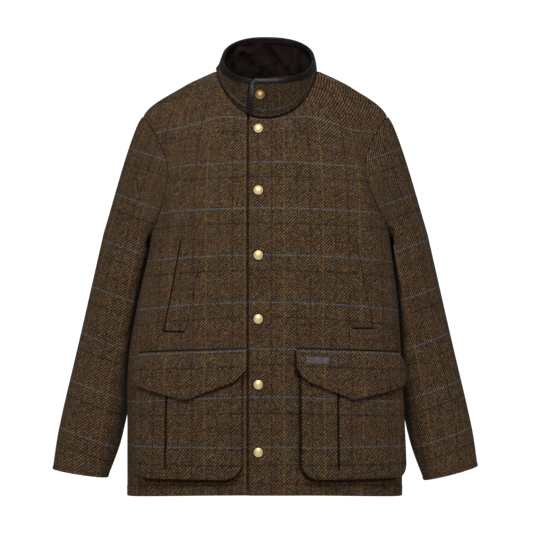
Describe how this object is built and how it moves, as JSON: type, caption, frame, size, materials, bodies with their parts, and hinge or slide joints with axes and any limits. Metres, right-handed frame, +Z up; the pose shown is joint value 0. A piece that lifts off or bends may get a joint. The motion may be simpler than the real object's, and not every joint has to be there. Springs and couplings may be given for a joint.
{
  "type": "tweed field jacket with stand collar and bellows pockets",
  "caption": "Hip-length tweed jacket, filled out as worn and hollow, with a leather-bound stand collar, press studs and flapped bellows pockets.",
  "frame": {"origin": "middle of the neck base, where the wearer's neck and shoulders hold the jacket up", "axes": "+Z up, -Y the jacket's front, +X the wearer's left"},
  "size_m": [0.7657, 0.2752, 0.8309],
  "materials": {
    "tweed": "milled wool twill, brown, with a windowpane overcheck in blue, green, rust and orange",
    "moleskin_lining": "dark brown brushed cotton moleskin",
    "leather": "soft dark brown hide, low sheen",
    "patch_leather": "grey-brown hide patch, bare",
    "brass": "polished pale brass caps"
  },
  "bodies": {
    "root": {"front_right": "tweed", "front_left": "tweed", "back": "tweed", "sleeve_right_top": "tweed", "sleeve_right_under": "tweed", "sleeve_left_top": "tweed", "sleeve_left_under": "tweed", "collar": "tweed", "collar_lining": "moleskin_lining", "collar_binding": "leather", "neck_lining": "moleskin_lining", "welt_right": "tweed", "welt_left": "tweed", "pocket_right": "tweed", "pocket_left": "tweed", "flap_right": "tweed", "flap_left": "tweed", "piping_right": "leather", "piping_left": "leather", "label_patch": "patch_leather", "stud_collar": "brass", "stud_1": "brass", "stud_2": "brass", "stud_3": "brass", "stud_4": "brass", "stud_5": "brass", "stud_6": "brass"}
  },
  "joints": []
}
